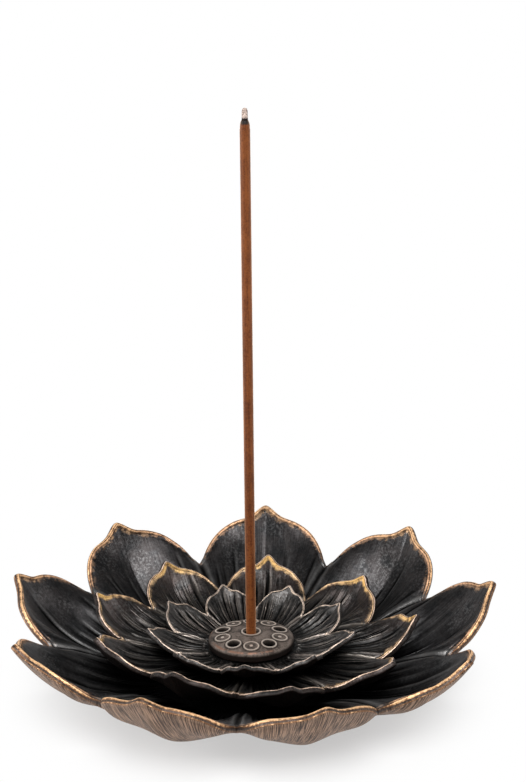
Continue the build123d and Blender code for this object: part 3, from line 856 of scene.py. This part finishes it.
# A turned rod: radius and height per row, with waves that only take material away
def rod(name, node, radii, heights, uneven, seed, material):
    shape = stickShape
    rng = np.random.default_rng(seed)
    azimuth = (np.arange(shape["columns"]) / shape["columns"] * 2 * np.pi)[None, :]
    heights = np.asarray(heights, float)[:, None]
    radii = np.asarray(radii, float)[:, None]
    wobble = unevenness(azimuth, heights * shape["waveRate"], rng, shape["waves"])
    wobble = np.clip(wobble, -shape["waveLimit"], shape["waveLimit"])
    wobble = shape["waveLevel"] + shape["waveShare"] * wobble
    radius = radii - uneven * (radii / radii.max()) * wobble
    points = ringPoints(np.maximum(radius, shape["poleRadius"]), heights, azimuth)[::-1]
    piece = gridPiece(name, points, False, {}, material)
    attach(piece, "stick")
    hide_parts(node)
    print(name, "made")


# Pressed paste: fine lines along the stick, flecks, and a ragged change to the burnt colour
def pasteLook(name, finish):
    look = Look(bpy.data.materials.new(name))
    place = look.place()
    grain = look.noise(place, *finish["grain"])
    across, along = finish["lines"], finish["lineStretch"] * finish["lines"]
    line = look.noise(look.stretch(place, (across, across, along)), 1.0)
    cloud = look.noise(place, *finish["cloud"])
    tone = finish["grainTone"] * grain + finish["lineTone"] * line + finish["cloudTone"] * cloud
    colour = look.mix(tone.ramp(*finish["tone"]), finish["dark"], finish["light"])
    colour = look.mix(grain.ramp(*finish["fleckTone"]) * finish["fleckShare"], colour, finish["fleck"])
    height = look.axis(place, "Z") * mmPerMetre + finish["burntRagged"] * cloud
    colour = look.mix(height.ramp(finish["burntFrom"], finish["burntTo"]), colour, finish["burnt"])
    relief = look.bump(finish["grainHeight"] * grain + finish["lineHeight"] * line, finish["relief"])
    return look.close({"Base Color": colour, "Roughness": finish["rough"] + finish["grainRough"] * grain,
                       "Metallic": finish["metal"], "Specular IOR Level": finish["gloss"],
                       "Sheen Weight": finish["sheen"], "Sheen Roughness": finish["sheenRough"],
                       "Sheen Tint": (*finish["sheenTint"], 1.0), "Normal": relief})


# The shaft is straight with softened ends, the char narrows by a power of its height, and the ash is a
# slim finger with a blunt top
def makeStick(shape):
    radius, low, charLow, ashLow, top = (shape[key] for key in ("radius", "low", "charLow", "ashLow", "top"))
    shaft = np.linspace(low, charLow, shape["shaftRows"])
    rod("stickShaft", "incense_stick",
        [0, radius - shape["footRound"], radius, *[radius] * len(shaft),
         radius, radius - shape["headRound"], 0],
        [low, low, low + shape["footHeight"], *shaft, charLow, charLow, charLow],
        shape["shaftUneven"], shape["shaftSeed"], pasteLook("incensePaste", pasteFinish))
    share = np.linspace(0, 1, shape["charRows"])
    rod("charBand", "charred_band",
        [0, *(radius - shape["charStep"] - shape["charTaper"] * share ** shape["charPower"]), 0],
        [charLow, *(charLow + share * (ashLow - charLow)), ashLow],
        shape["charUneven"], shape["charSeed"], pasteLook("burntPaste", burntFinish))
    share = np.linspace(0, 1, shape["ashRows"])
    blunt = np.sqrt(np.maximum(1 - share ** shape["ashPower"], 0))
    rod("ashTip", "ash_tip",
        [0, *(shape["ashRadius"] * (1 - shape["ashTaper"] * share) * blunt), 0],
        [ashLow, *(ashLow + share * (top - ashLow)), top],
        shape["ashUneven"], shape["ashSeed"], pasteLook("paleAsh", ashFinish))


makeStick(stickShape)


# A white floor that keeps the soft shadow and runs out into white, soft boxes in front and beside,
# and a sky that is white along the horizon, and dimmer overhead and in front; lengths in metres
stageLight = {
    "floorSize": 30.0, "floorColour": (0.8, 0.8, 0.8), "fadeFrom": 0.03, "fadeTo": 0.058, "floorGlow": 0.5,
    "horizon": 1.0, "overhead": 0.14, "whiteTo": 0.1, "dimFrom": 0.36,
    "front": 0.3, "frontFrom": -0.7, "frontTo": 0.0, "aim": (0.0, 0.0, 0.02),
    "boxes": [
        {"name": "highBox", "spot": (0.06, -0.41, 0.65), "size": 0.5, "power": 6.4},
        {"name": "frontBox", "spot": (-0.06, -0.7, 0.36), "size": 0.28, "power": 0.4},
        {"name": "leftBox", "spot": (-0.62, -0.14, 0.2), "size": 0.3, "power": 3.0},
        {"name": "rightBox", "spot": (0.62, 0.0, 0.26), "size": 0.25, "power": 0.8},
    ],
}


# One flat square: paper in the light, and white glow where it is looked at, half near the object and
# whole further out
def makeFloor(stage):
    half = stage["floorSize"] / 2
    corners = [(x * half, y * half, 0) for x, y in ((-1, -1), (1, -1), (1, 1), (-1, 1))]
    mesh = bpy.data.meshes.new("floor")
    mesh.from_pydata(corners, [], [(0, 1, 2, 3)])
    floor = bpy.data.objects.new("floor", mesh)
    look = Look(bpy.data.materials.new("paper"))
    place = look.place()
    x, y = look.axis(place, "X"), look.axis(place, "Y")
    far = ((x * x + y * y) ** 0.5).ramp(stage["fadeFrom"], stage["fadeTo"])
    paper = look.node("ShaderNodeBsdfDiffuse", {}, {"Color": (*stage["floorColour"], 1.0)})
    white = look.node("ShaderNodeEmission", {}, {"Strength": 1.0})
    seen, mirrored, through = (look.node("ShaderNodeLightPath", output=key) for key in (
        "Is Camera Ray", "Is Glossy Ray", "Is Transmission Ray"))
    glow = (seen + mirrored + through).clamp() * (stage["floorGlow"] + (1 - stage["floorGlow"]) * far)
    surface = look.node("ShaderNodeMixShader", {}, {0: glow, 1: paper, 2: white})
    look.node("ShaderNodeOutputMaterial", {}, {"Surface": surface})
    mesh.materials.append(look.owner)
    bpy.context.collection.objects.link(floor)


# A square soft box that faces the aim
def makeLamp(box, aim):
    data = bpy.data.lights.new(box["name"], "AREA")
    data.size = box["size"]
    data.energy = box["power"]
    lamp = bpy.data.objects.new(box["name"], data)
    back = np.array(box["spot"]) - np.array(aim)
    side = np.cross((0, 0, 1), back)
    side = side / np.linalg.norm(side)
    back = back / np.linalg.norm(back)
    turn = np.eye(4)
    turn[:3, :3] = np.stack([side, np.cross(back, side), back], 1)
    turn[:3, 3] = box["spot"]
    lamp.matrix_world = Matrix(turn.tolist())
    bpy.context.collection.objects.link(lamp)


# The sky's strength is the product of a ramp up from the horizon and a ramp from front to back
def makeSky(stage):
    world = bpy.data.worlds.new("studio")
    bpy.context.scene.world = world
    look = Look(world)
    direction = look.node("ShaderNodeTexCoord", output="Generated")
    up = look.axis(direction, "Z")
    level = up.ramp(stage["whiteTo"], stage["dimFrom"], stage["horizon"], stage["overhead"])
    ahead = look.axis(direction, "Y").ramp(stage["frontFrom"], stage["frontTo"], stage["front"])
    sky = look.node("ShaderNodeBackground", {}, {"Color": (1, 1, 1, 1), "Strength": level * ahead})
    look.node("ShaderNodeOutputWorld", {}, {"Surface": sky})


makeFloor(stageLight)
for box in stageLight["boxes"]:
    makeLamp(box, stageLight["aim"])
makeSky(stageLight)
bpy.context.scene.view_settings.view_transform = "Standard"
print("stage lit")
